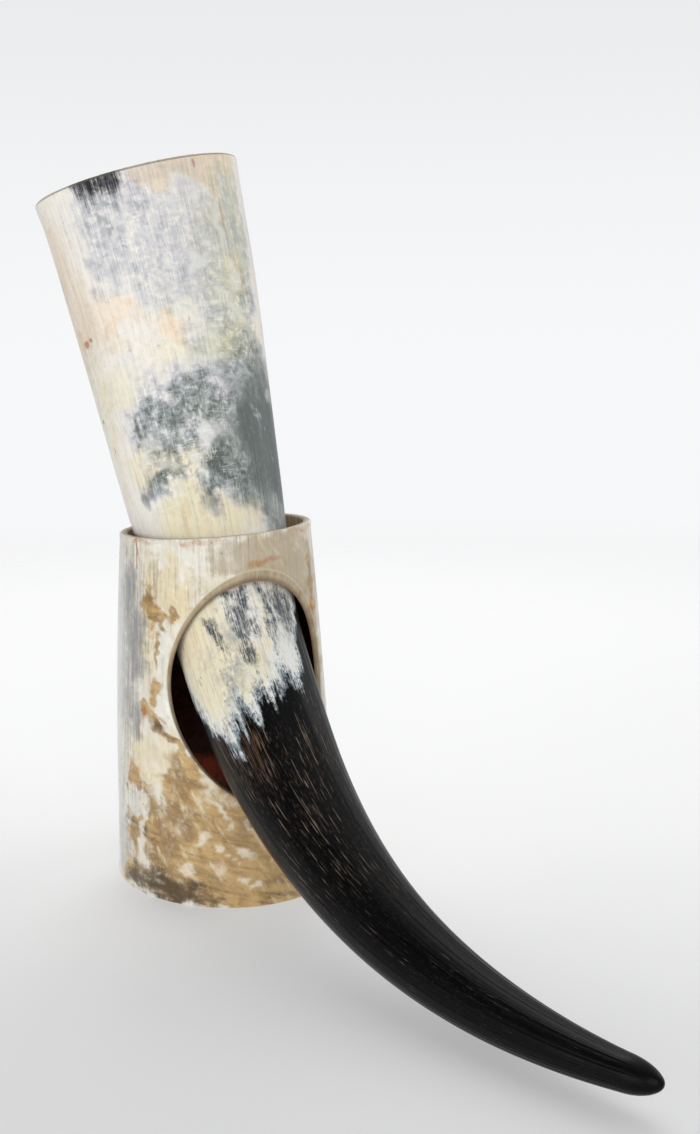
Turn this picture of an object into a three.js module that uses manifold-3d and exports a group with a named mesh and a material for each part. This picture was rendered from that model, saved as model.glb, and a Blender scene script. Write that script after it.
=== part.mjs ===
// A drinking horn resting in a stand cut from a second piece of horn.
// Millimetres, +Z up. The stand's window faces -Y, and the horn's tip comes out through it.
// The model is built about the middle of the stand's foot, then moved so that its origin
// is the middle of the whole object's box, on the surface that the stand rests on.

import * as THREE from 'three';
import { mergeVertices } from 'three/addons/utils/BufferGeometryUtils.js';
import Module from 'manifold-3d';

// ---- Drinking horn: a tapered sheath along a space curve, from the mouth to the tip ----
const MOUTH_CENTRE = new THREE.Vector3(-14.8, 34.2, 231.4);
const MOUTH_HANDLE = new THREE.Vector3(15.3, 28.8, 101.5);
const TIP_HANDLE = new THREE.Vector3(-23, -61.4, -1.9);
const TIP_CENTRE = new THREE.Vector3(27.7, -202.2, 9.9);
const MOUTH_RADIUS = 36;           // of the taper, before the lip draws in
const LIP_DRAW = 1;               // how far the lip draws in
const LIP_DRAW_SHARE = 0.08;      // share of the length over which it does
const MOUTH_SLOPE = 0.05;         // rise of the slanted mouth cut towards the front, per millimetre
const TIP_RADIUS = 3.6;
const TIP_CAP_LENGTH = 3;
const SHEATH_BELLY = 0.2;         // how far the sheath's middle bulges past a straight taper
const WAIST_DEPTH = 1.6;            // the sheath narrows a little where it leaves the stand
const WAIST_SHARE = 0.42;
const WAIST_SPREAD = 0.07;
const MOUTH_WALL = 2.8;
const HOLLOW_SHARE = 0.62;        // share of the length that is hollow, measured from the mouth
const HOLLOW_END_RADIUS = 7;
const HOLLOW_CAP_LENGTH = 6;
const LIP_ROUND = 0.9;
const CAP_STEPS = [0.35, 0.65, 0.88];   // rings of a rounded end, as shares of its quarter turn
const HORN_SEGMENTS = 32;
const OUTER_STATIONS = 26;
const INNER_STATIONS = 12;

// ---- Stand: a leaning oval tube with a bevelled oval window ----
const STAND_HEIGHT = 117;
const FOOT_RADIUS = 36.2;         // half the width across, outside
const RIM_RADIUS = 31;
const BELLY = 0.8;                // how far the middle bulges past a straight taper
const OVAL = 1.17;                // depth along the window's direction, over width
const STAND_WALL = 2.6;
const EDGE_ROUND = 0.5;
const RIM_SHIFT_X = -1.4;         // the rim's middle sits this far off the foot's middle
const RIM_SHIFT_Y = 0.3;
const RIM_SLOPE_X = 0.06;         // rise of the slanted rim cut per millimetre
const RIM_SLOPE_Y = -0.017;
const STAND_SEGMENTS = 48;
const STAND_STATIONS = 6;

// Window outlines on the outer face and on the inner face; the cut between them is the bevel.
const WINDOW_OUTER = { centreZ: 70, halfWidth: 26.7, halfHeight: 37.2 };
const WINDOW_INNER = { centreZ: 68.5, halfWidth: 26.4, halfHeight: 34.8 };
const WINDOW_SEGMENTS = 48;
const CUT_CLEARANCE = 3;          // the window's cutter runs this far past both faces
const MERGE_DISTANCE = 1e-4;

// ---- Surfaces made of rings ----

// A closed body through rings of equal size, with a pole at each end.
function bodyOfRings(firstPole, rings, lastPole) {
  const size = rings[0].length;
  const points = [firstPole, ...rings.flat(), lastPole];
  const last = points.length - 1;
  const index = [];
  for (let i = 0; i < size; i += 1) {
    const next = (i + 1) % size;
    index.push(0, 1 + next, 1 + i);
    for (let ring = 0; ring < rings.length - 1; ring += 1) {
      const a = 1 + ring * size;
      const b = a + size;
      index.push(a + i, a + next, b + next, a + i, b + next, b + i);
    }
    const a = 1 + (rings.length - 1) * size;
    index.push(a + i, a + next, last);
  }
  const geometry = new THREE.BufferGeometry().setFromPoints(points);
  geometry.setIndex(index);
  return geometry;
}

// ---- Drinking horn ----

const centreline = new THREE.CubicBezierCurve3(MOUTH_CENTRE, MOUTH_HANDLE, TIP_HANDLE, TIP_CENTRE);
const hornLength = centreline.getLength();

// Two directions across the horn at a share u of its length. They come from one fixed
// sideways direction, so that the rings don't twist against each other.
function acrossHorn(u) {
  const along = centreline.getTangentAt(u);
  const back = new THREE.Vector3().crossVectors(new THREE.Vector3(1, 0, 0), along).normalize();
  const side = new THREE.Vector3().crossVectors(back, along).normalize();
  return { along, side, back };
}

function hornRing(u, radius, offset = 0, slope = 0) {
  const { along, side, back } = acrossHorn(u);
  const centre = centreline.getPointAt(u).addScaledVector(along, offset);
  return Array.from({ length: HORN_SEGMENTS }, (_, i) => {
    const angle = (2 * Math.PI * i) / HORN_SEGMENTS;
    return centre.clone()
      .addScaledVector(side, radius * Math.cos(angle))
      .addScaledVector(back, radius * Math.sin(angle))
      .addScaledVector(along, slope * radius * Math.sin(angle));
  });
}

function hornPole(u, offset) {
  return centreline.getPointAt(u).addScaledVector(centreline.getTangentAt(u), offset);
}

function lipDraw(u) {
  return LIP_DRAW * Math.exp(-((u / LIP_DRAW_SHARE) ** 2));
}

function outerRadius(u) {
  const belly = SHEATH_BELLY * Math.sin(Math.PI * u);
  const offWaist = (u - WAIST_SHARE) / WAIST_SPREAD;
  const waist = WAIST_DEPTH * Math.exp(-(offWaist ** 2));
  return THREE.MathUtils.lerp(MOUTH_RADIUS, TIP_RADIUS, u) + belly - waist - lipDraw(u);
}

function innerRadius(u) {
  const taper = THREE.MathUtils.lerp(MOUTH_RADIUS - MOUTH_WALL, HOLLOW_END_RADIUS, u / HOLLOW_SHARE);
  return taper - lipDraw(u);
}

// Rings of a rounded end past the share u, on a quarter of an ellipse.
function endCap(u, radius, length) {
  return CAP_STEPS.map((step) => {
    const angle = (step * Math.PI) / 2;
    return hornRing(u, radius * Math.cos(angle), length * Math.sin(angle));
  });
}

function drinkingHorn() {
  const lip = LIP_ROUND / hornLength;
  const outer = [
    hornRing(0, outerRadius(0) - LIP_ROUND, 0, MOUTH_SLOPE),
    hornRing(lip, outerRadius(0), 0, MOUTH_SLOPE),
  ];
  for (let i = 1; i <= OUTER_STATIONS; i += 1) {
    const u = i / OUTER_STATIONS;
    outer.push(hornRing(u, outerRadius(u)));
  }
  outer.push(...endCap(1, TIP_RADIUS, TIP_CAP_LENGTH));

  const inner = [
    hornRing(0, innerRadius(0) + LIP_ROUND, 0, MOUTH_SLOPE),
    hornRing(lip, innerRadius(0), 0, MOUTH_SLOPE),
  ];
  for (let i = 1; i <= INNER_STATIONS; i += 1) {
    const u = (HOLLOW_SHARE * i) / INNER_STATIONS;
    inner.push(hornRing(u, innerRadius(u)));
  }
  inner.push(...endCap(HOLLOW_SHARE, HOLLOW_END_RADIUS, HOLLOW_CAP_LENGTH));

  const hollowEnd = hornPole(HOLLOW_SHARE, HOLLOW_CAP_LENGTH);
  const tip = hornPole(1, TIP_CAP_LENGTH);
  return bodyOfRings(hollowEnd, [...inner.reverse(), ...outer], tip);
}

// ---- Stand ----

function standRadius(z) {
  const t = THREE.MathUtils.clamp(z / STAND_HEIGHT, 0, 1);
  return THREE.MathUtils.lerp(FOOT_RADIUS, RIM_RADIUS, t) + BELLY * Math.sin(Math.PI * t);
}

// Turns a round, upright shape into the leaning oval one with its slanted rim.
function leanAndOval(point) {
  const t = point.z / STAND_HEIGHT;
  const x = point.x + RIM_SHIFT_X * t;
  const y = point.y * OVAL + RIM_SHIFT_Y * t;
  const z = point.z + t * (RIM_SLOPE_X * point.x + RIM_SLOPE_Y * point.y);
  return point.set(x, y, z);
}

function standTube() {
  const outside = [];
  const inside = [];
  for (let i = 0; i <= STAND_STATIONS; i += 1) {
    const z = THREE.MathUtils.lerp(EDGE_ROUND, STAND_HEIGHT - EDGE_ROUND, i / STAND_STATIONS);
    outside.push(new THREE.Vector2(standRadius(z), z));
    inside.push(new THREE.Vector2(standRadius(z) - STAND_WALL, z));
  }
  const profile = [
    new THREE.Vector2(FOOT_RADIUS - EDGE_ROUND, 0),
    ...outside,
    new THREE.Vector2(RIM_RADIUS - EDGE_ROUND, STAND_HEIGHT),
    new THREE.Vector2(RIM_RADIUS - STAND_WALL + EDGE_ROUND, STAND_HEIGHT),
    ...inside.reverse(),
    new THREE.Vector2(FOOT_RADIUS - STAND_WALL + EDGE_ROUND, 0),
  ];
  profile.push(profile[0].clone());
  const geometry = new THREE.LatheGeometry(profile, STAND_SEGMENTS);
  geometry.rotateX(Math.PI / 2);
  const position = geometry.getAttribute('position');
  const point = new THREE.Vector3();
  for (let i = 0; i < position.count; i += 1) {
    point.fromBufferAttribute(position, i);
    leanAndOval(point);
    position.setXYZ(i, point.x, point.y, point.z);
  }
  return geometry;
}

// One outline of the window, laid on the round tube at the given distance from its outer face.
function windowRing(outline, outward) {
  return Array.from({ length: WINDOW_SEGMENTS }, (_, i) => {
    const angle = (-2 * Math.PI * i) / WINDOW_SEGMENTS;
    const z = outline.centreZ + outline.halfHeight * Math.cos(angle);
    const turn = Math.asin((outline.halfWidth * Math.sin(angle)) / standRadius(z));
    const radius = standRadius(z) + outward;
    return leanAndOval(new THREE.Vector3(radius * Math.sin(turn), -radius * Math.cos(turn), z));
  });
}

// The outline carried past a face of the wall along the bevel.
function beyondBevel(from, to, share) {
  return to.map((point, i) => point.clone().addScaledVector(point.clone().sub(from[i]), share));
}

function windowCutter() {
  const outer = windowRing(WINDOW_OUTER, 0);
  const inner = windowRing(WINDOW_INNER, -STAND_WALL);
  const past = CUT_CLEARANCE / STAND_WALL;
  const axisPoint = new THREE.Vector3(0, 0, WINDOW_INNER.centreZ);
  const frontPoint = new THREE.Vector3(0, -2 * FOOT_RADIUS, WINDOW_OUTER.centreZ);
  const rings = [beyondBevel(outer, inner, past), beyondBevel(inner, outer, past)];
  return bodyOfRings(axisPoint, rings, frontPoint);
}

// ---- Boolean cut ----

const wasm = await Module();
wasm.setup();

function toManifold(geometry) {
  const bare = geometry.clone();
  bare.deleteAttribute('normal');
  bare.deleteAttribute('uv');
  const merged = mergeVertices(bare, MERGE_DISTANCE);
  return new wasm.Manifold(new wasm.Mesh({
    numProp: 3,
    vertProperties: new Float32Array(merged.getAttribute('position').array),
    triVerts: new Uint32Array(merged.getIndex().array),
  }));
}

function fromManifold(solid) {
  const mesh = solid.getMesh();
  const geometry = new THREE.BufferGeometry();
  geometry.setAttribute('position', new THREE.BufferAttribute(mesh.vertProperties, 3));
  geometry.setIndex(new THREE.BufferAttribute(mesh.triVerts, 1));
  geometry.computeVertexNormals();
  return geometry;
}

function hornStand() {
  return fromManifold(toManifold(standTube()).subtract(toManifold(windowCutter())));
}

// ---- The object ----

function piece(name, geometry, colour, roughness) {
  const material = new THREE.MeshStandardMaterial({ color: colour, roughness, metalness: 0 });
  const mesh = new THREE.Mesh(geometry, material);
  mesh.name = name;
  return mesh;
}

const object = new THREE.Group();
object.add(piece('drinking_horn', drinkingHorn(), 0xb9b2a4, 0.38));
object.add(piece('horn_stand', hornStand(), 0xd2c4a6, 0.45));

const box = new THREE.Box3().setFromObject(object, true);
const middle = box.getCenter(new THREE.Vector3());
object.position.set(-middle.x, -middle.y, -box.min.z);

export default object;
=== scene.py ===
"""A drinking horn resting in a stand cut from a second piece of horn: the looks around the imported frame.

Metres and +Z up. Two fine meshes stand for the frame's two nodes. A place on the horn is given
as (turn, along) and a place on the stand as (turn, height): turn is the angle round the piece in
degrees, 0 at the front (-Y) and positive towards +X, and along is the way from the mouth down the
horn's own curve. Markings are placed in those terms, in degrees and millimetres.
"""

import math

import bmesh
import bpy
import numpy as np
from mathutils import Matrix, Vector


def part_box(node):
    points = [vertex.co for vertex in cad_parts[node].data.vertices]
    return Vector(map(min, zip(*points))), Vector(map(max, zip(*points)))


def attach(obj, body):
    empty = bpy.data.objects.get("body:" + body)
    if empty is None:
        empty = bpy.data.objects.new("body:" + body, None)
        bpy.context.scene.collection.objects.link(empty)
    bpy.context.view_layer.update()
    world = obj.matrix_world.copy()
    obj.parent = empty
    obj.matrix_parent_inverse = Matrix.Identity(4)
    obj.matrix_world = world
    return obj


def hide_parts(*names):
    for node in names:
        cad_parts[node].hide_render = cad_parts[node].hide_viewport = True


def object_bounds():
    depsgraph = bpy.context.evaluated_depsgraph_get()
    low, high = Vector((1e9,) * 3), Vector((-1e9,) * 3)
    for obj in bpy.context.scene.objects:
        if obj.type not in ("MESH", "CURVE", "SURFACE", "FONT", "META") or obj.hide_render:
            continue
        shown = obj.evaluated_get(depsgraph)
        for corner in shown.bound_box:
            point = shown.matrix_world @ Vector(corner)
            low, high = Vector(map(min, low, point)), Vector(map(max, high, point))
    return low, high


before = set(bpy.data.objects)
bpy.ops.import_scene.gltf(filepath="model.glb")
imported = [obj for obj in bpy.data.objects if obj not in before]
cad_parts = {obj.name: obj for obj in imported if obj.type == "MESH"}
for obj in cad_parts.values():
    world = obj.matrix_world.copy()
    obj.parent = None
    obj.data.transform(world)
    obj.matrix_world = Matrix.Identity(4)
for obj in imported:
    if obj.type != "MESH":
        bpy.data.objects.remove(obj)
cad_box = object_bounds()

MM = 0.001

# ---- The frame's driving dimensions ----

STAND_LOW, STAND_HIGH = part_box("horn_stand")
FOOT = np.array([(STAND_LOW.x + STAND_HIGH.x) / 2, (STAND_LOW.y + STAND_HIGH.y) / 2, 0.0])

HORN_CURVE = FOOT + MM * np.array([
    [-14.8, 34.2, 231.4],
    [15.3, 28.8, 101.5],
    [-23.0, -61.4, -1.9],
    [27.7, -202.2, 9.9],
])
MOUTH_RADIUS = 36 * MM
LIP_DRAW = 1 * MM
LIP_DRAW_SHARE = 0.08
MOUTH_SLOPE = 0.05
MOUTH_SLOPE_REACH = 22 * MM
TIP_RADIUS = 3.6 * MM
TIP_CAP_LENGTH = 3 * MM
NOSE_LENGTH = 10 * MM
NOSE_BLUNTNESS = 2.0
TIP_FULLNESS = 0.4 * MM
TIP_FULLNESS_SHARES = (0.68, 0.9)
NOSE_DRAW = 1.5 * MM
SHEATH_BELLY = 0.2 * MM
WAIST_DEPTH = 1.6 * MM
WAIST_SHARE = 0.42
WAIST_SPREAD = 0.07
MOUTH_WALL = 2.8 * MM
HOLLOW_SHARE = 0.62
HOLLOW_END_RADIUS = 7 * MM
HOLLOW_CAP_LENGTH = 6 * MM
LIP_ROUND = 1.1 * MM

STAND_HEIGHT = 117 * MM
FOOT_RADIUS = 36.2 * MM
RIM_RADIUS = 31 * MM
BELLY = 0.8 * MM
OVAL = 1.17
STAND_WALL = 2.6 * MM
RIM_SHIFT = np.array([-1.4, 0.3]) * MM
RIM_SLOPE = np.array([0.06, -0.017])
WINDOW_OUTER = {"centre": 70 * MM, "half_width": 26.7 * MM, "half_height": 37.2 * MM}
WINDOW_INNER = {"centre": 68.5 * MM, "half_width": 26.4 * MM, "half_height": 34.8 * MM}
BEVEL_DROP = 1.8 * MM
BEVEL_LEAN = 2 * MM
EDGE_ROUND = 0.6 * MM

# Where each outer face's relief eases in and out, in millimetres along the piece.
HORN_RELIEF_ENDS = ((0.0, 12.0), (359.0, 369.0))
STAND_RELIEF_ENDS = ((0.0, 4.0), (113.0, 117.0))

# ---- Mesh fineness ----

HORN_COLUMNS = 288
HORN_OUTER_ROWS = 252
NOSE_ROWS = 22
HORN_INNER_ROWS = 52
ROUND_STEPS = 6
CURVE_STEPS = 3000
WANDER_WAVES = 14

# The share of a mark's half size where it starts to fade.
MARK_CORE = 0.35

WINDOW_SIDE_TURN = 75.0
TURN_STEP = 1.25
HEIGHT_STEPS = 92
WINDOW_RINGS = 30
BEVEL_ROWS = 10
WELD_REACH = 2e-6


# ---- Places and marks ----


def wrapped(degrees):
    return (degrees + 180.0) % 360.0 - 180.0


def wander(places, size, seed):
    """A smooth random field, about -1 to 1, with features about size millimetres across."""
    source = np.random.default_rng(seed)
    directions = source.normal(size=(WANDER_WAVES, 3))
    directions /= np.linalg.norm(directions, axis=1, keepdims=True)
    lengths = size * source.uniform(0.9, 2.4, WANDER_WAVES)
    phases = source.uniform(0.0, 2.0 * math.pi, WANDER_WAVES)
    field = np.zeros(len(places))
    for direction, length, phase in zip(directions, lengths, phases):
        field += np.sin(places @ direction * (2.0 * math.pi / length) + phase)
    return field / math.sqrt(WANDER_WAVES)


def marks(turn, way, blots):
    """Oval marks laid over each other, from 0 to 1 at each place.

    Each is (turn, way, half turn, half way, strength) with turns in degrees and ways in millimetres.
    A sixth number is its slant, in degrees round the piece for each millimetre along it.
    """
    clear = np.ones_like(turn)
    for middle_turn, middle_way, half_turn, half_way, strength, *slants in blots:
        past = way - middle_way
        across = wrapped(turn - middle_turn - sum(slants) * past)
        reach = np.hypot(across / half_turn, past / half_way)
        clear *= 1.0 - strength * smooth(1.0, MARK_CORE, reach)
    return 1.0 - clear


def drift(places, coarse, fine, seed):
    """A coarse and a fine wander added up, each given as (strength, size in millimetres)."""
    total = 0.0
    for i, (strength, size) in enumerate((coarse, fine)):
        total = total + strength * wander(places, size, seed + i)
    return total


def write_marks(mesh, every_mark, turn, way, drifts, eases):
    """Writes each list of marks to the mesh, drifted by its ease, which is 1 where none is given."""
    for name, blots in every_mark.items():
        ease = eases.get(name, 1.0)
        write_number(mesh, name, marks(turn + ease * drifts[0], way + ease * drifts[1], blots))


def smooth(low, high, value):
    share = np.clip((value - low) / (high - low), 0.0, 1.0)
    return share * share * (3.0 - 2.0 * share)


def between_ends(ends, value):
    """1 between two ends, each given as (low, high), easing to 0 outside them."""
    return smooth(*ends[0], value) * (1.0 - smooth(*ends[1], value))


def quarter(steps):
    """Shares of a quarter turn, without its two ends."""
    return np.linspace(0.0, math.pi / 2, steps + 2)[1:-1]


# ---- Meshes ----


def piece_from(name, vertices, faces):
    mesh = bpy.data.meshes.new(name)
    mesh.from_pydata(vertices.tolist(), [], faces)
    mesh.polygons.foreach_set("use_smooth", np.ones(len(mesh.polygons), dtype=bool))
    mesh.update()
    piece = bpy.data.objects.new(name, mesh)
    bpy.context.scene.collection.objects.link(piece)
    return piece


def write_number(mesh, name, values):
    attribute = mesh.attributes.new(name, "FLOAT", "POINT")
    attribute.data.foreach_set("value", np.ascontiguousarray(values, dtype=np.float32))


def write_vector(mesh, name, values):
    attribute = mesh.attributes.new(name, "FLOAT_VECTOR", "POINT")
    attribute.data.foreach_set("vector", np.ascontiguousarray(values, dtype=np.float32).ravel())


# ---- Drinking horn ----


class Sheath:
    """The horn's curve, measured by the share u of its length from the mouth."""

    def __init__(self, points):
        t = np.linspace(0.0, 1.0, CURVE_STEPS)[:, None]
        weights = [(1 - t) ** 3, 3 * t * (1 - t) ** 2, 3 * t**2 * (1 - t), t**3]
        self.line = sum(weight * point for weight, point in zip(weights, points))
        steps = np.linalg.norm(np.diff(self.line, axis=0), axis=1)
        self.ways = np.concatenate([[0.0], np.cumsum(steps)])
        self.length = self.ways[-1]

    def at(self, u):
        way = np.clip(u, 0.0, 1.0) * self.length
        return np.stack([np.interp(way, self.ways, self.line[:, i]) for i in range(3)], axis=-1)

    def directions(self, u):
        """Along the horn towards its tip, to the front and to the right, as unit vectors."""
        step = 1.0 / CURVE_STEPS
        along = self.at(np.minimum(u + step, 1.0)) - self.at(np.maximum(u - step, 0.0))
        along /= np.linalg.norm(along, axis=-1, keepdims=True)
        back = np.cross(np.array([1.0, 0.0, 0.0]), along)
        back /= np.linalg.norm(back, axis=-1, keepdims=True)
        left = np.cross(back, along)
        return along, -back, -left


sheath = Sheath(HORN_CURVE)
HORN_REACH = sheath.length + TIP_CAP_LENGTH - NOSE_DRAW


def lip_draw(u):
    return LIP_DRAW * np.exp(-((u / LIP_DRAW_SHARE) ** 2))


def horn_outer_radius(u):
    waist = WAIST_DEPTH * np.exp(-(((u - WAIST_SHARE) / WAIST_SPREAD) ** 2))
    belly = SHEATH_BELLY * np.sin(math.pi * u)
    taper = MOUTH_RADIUS + (TIP_RADIUS - MOUTH_RADIUS) * u
    return taper + belly - waist - lip_draw(u) + TIP_FULLNESS * smooth(*TIP_FULLNESS_SHARES, u)


def horn_inner_radius(u):
    share = u / HOLLOW_SHARE
    mouth = MOUTH_RADIUS - MOUTH_WALL
    return mouth + (HOLLOW_END_RADIUS - mouth) * share - lip_draw(u)


def horn_rows():
    """Rows (u, radius, offset, depth share) from the bottom of the hollow, over the lip, to the tip."""
    rows = []
    for angle in quarter(ROUND_STEPS)[::-1]:
        radius = HOLLOW_END_RADIUS * math.cos(angle)
        rows.append((HOLLOW_SHARE, radius, HOLLOW_CAP_LENGTH * math.sin(angle), 1.0))
    lip = LIP_ROUND / sheath.length
    for u in np.linspace(HOLLOW_SHARE, lip, HORN_INNER_ROWS):
        rows.append((u, horn_inner_radius(u), 0.0, 1.0))
    inner, outer = horn_inner_radius(lip), horn_outer_radius(lip)
    for angle in quarter(ROUND_STEPS):
        radius = inner + LIP_ROUND * (1 - math.cos(angle))
        rows.append((0.0, radius, LIP_ROUND * (1 - math.sin(angle)), 0.7))
    for share, depth in ((0.0, 0.6), (0.5, 0.5), (1.0, 0.4)):
        radius = inner + LIP_ROUND + share * (outer - inner - 2 * LIP_ROUND)
        rows.append((0.0, radius, 0.0, depth))
    for angle in quarter(ROUND_STEPS)[::-1]:
        radius = outer - LIP_ROUND * (1 - math.cos(angle))
        rows.append((0.0, radius, LIP_ROUND * (1 - math.sin(angle)), 0.2))
    nose = (HORN_REACH - NOSE_LENGTH) / sheath.length
    for u in np.linspace(lip, nose, HORN_OUTER_ROWS):
        rows.append((u, horn_outer_radius(u), 0.0, 0.0))
    for share in (1.0 - np.linspace(0.0, 1.0, NOSE_ROWS + 2)[1:-1]) ** 2:
        reach = HORN_REACH - share * NOSE_LENGTH
        u = min(reach / sheath.length, 1.0)
        blunt = math.sqrt(1.0 - (1.0 - share) ** NOSE_BLUNTNESS)
        rows.append((u, horn_outer_radius(u) * blunt, max(reach - sheath.length, 0.0), 0.0))
    return np.array(rows)


def horn_relief(turn, along):
    """How far the outer face dips below its true taper: fluting along the grain and slow hollows."""
    angle = np.radians(turn)
    twist = 0.25 * np.sin(along / 61.0) + 0.15 * np.sin(along / 23.0 + 1.3)
    flutes = np.zeros_like(turn)
    for count, size, phase in ((17, 0.022, 0.4), (29, 0.018, 2.1), (43, 0.014, 4.4), (61, 0.009, 1.0)):
        flutes += size * np.sin(count * (angle + 0.1 * twist) + phase + 0.6 * np.sin(along / 37.0 + count))
    hollows = 0.10 * np.sin(2 * angle + along / 48.0) + 0.08 * np.sin(3 * angle - along / 31.0 + 0.8)
    rings = 0.03 * np.sin(along / 3.1 + 0.5 * np.sin(2 * angle)) * np.exp(-along / 60.0)
    fade = between_ends(HORN_RELIEF_ENDS, along)
    return (0.25 + hollows + flutes + rings) * fade * MM


def build_horn():
    rows = horn_rows()
    turn = -180.0 + 360.0 * np.arange(HORN_COLUMNS) / HORN_COLUMNS
    u, radius, offset, depth = (rows[:, [i]] for i in range(4))
    turn = np.broadcast_to(turn, (len(rows), HORN_COLUMNS))
    u = np.broadcast_to(u, turn.shape)
    depth = np.broadcast_to(depth, turn.shape)
    along_mm = (u * sheath.length + offset) / MM
    radius = radius - np.where(depth == 0.0, horn_relief(turn, along_mm), 0.0)
    angle = np.radians(turn)[..., None]
    along, front, right = sheath.directions(u)
    slope = MOUTH_SLOPE * radius * np.cos(np.radians(turn))
    slope = slope * (1.0 - smooth(0.0, MOUTH_SLOPE_REACH, u * sheath.length))
    points = sheath.at(u) + radius[..., None] * (front * np.cos(angle) + right * np.sin(angle))
    points = points + along * (offset - slope)[..., None]

    def pole(share, reach):
        direction = sheath.directions(np.array([share]))[0]
        return sheath.at(np.array([share])) + direction * reach

    hollow_end, tip = pole(HOLLOW_SHARE, HOLLOW_CAP_LENGTH), pole(1.0, HORN_REACH - sheath.length)
    vertices = np.concatenate([hollow_end, points.reshape(-1, 3), tip])
    index = 1 + np.arange(points.shape[0] * HORN_COLUMNS).reshape(points.shape[:2])
    beside = np.roll(index, -1, axis=1)
    quads = np.stack([index[:-1], beside[:-1], beside[1:], index[1:]], axis=-1).reshape(-1, 4)
    last = len(vertices) - 1
    faces = [[0, b, a] for a, b in zip(index[0].tolist(), beside[0].tolist())]
    faces += quads.tolist()
    faces += [[last, a, b] for a, b in zip(index[-1].tolist(), beside[-1].tolist())]
    piece = piece_from("drinking_horn_sheath", vertices, faces)

    turns = np.concatenate([[0.0], turn.ravel(), [0.0]])
    hollow_mm = (HOLLOW_SHARE * sheath.length + HOLLOW_CAP_LENGTH) / MM
    alongs = np.concatenate([[hollow_mm], along_mm.ravel(), [sheath.length / MM]])
    depths = np.concatenate([[1.0], depth.ravel(), [0.0]])
    return piece, turns, alongs, depths


GRAIN_RADIUS = 28 * MM
BLACK_EDGE_SPAN = 30.0
BLACK_EDGE_EASES = (0.4, 0.8)


def grain_places(turn, way):
    angle = np.radians(turn)
    return np.stack([GRAIN_RADIUS * np.sin(angle), -GRAIN_RADIUS * np.cos(angle), way * MM], axis=-1)


# The edge between pale and black horn, as (turn, along), with its tongues.
BLACK_EDGE = [
    (-180, 192), (-160, 186), (-150, 194), (-138, 183), (-125, 188), (-112, 181), (-105, 184),
    (-97, 191), (-90, 193), (-84, 200), (-80, 196), (-75, 204), (-66, 209), (-61, 214), (-56, 206),
    (-52, 203), (-47, 210), (-43, 197), (-38, 198), (-33, 203), (-28, 207), (-24, 198), (-15, 197),
    (-12, 205), (-8, 197), (0, 196), (6, 192), (10, 189), (15, 195), (22, 195), (27, 191), (33, 184),
    (38, 176), (45, 168), (52, 160), (60, 158), (75, 166), (85, 160), (100, 175), (112, 172),
    (128, 186), (140, 180), (155, 192), (168, 185), (180, 192),
]

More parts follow.
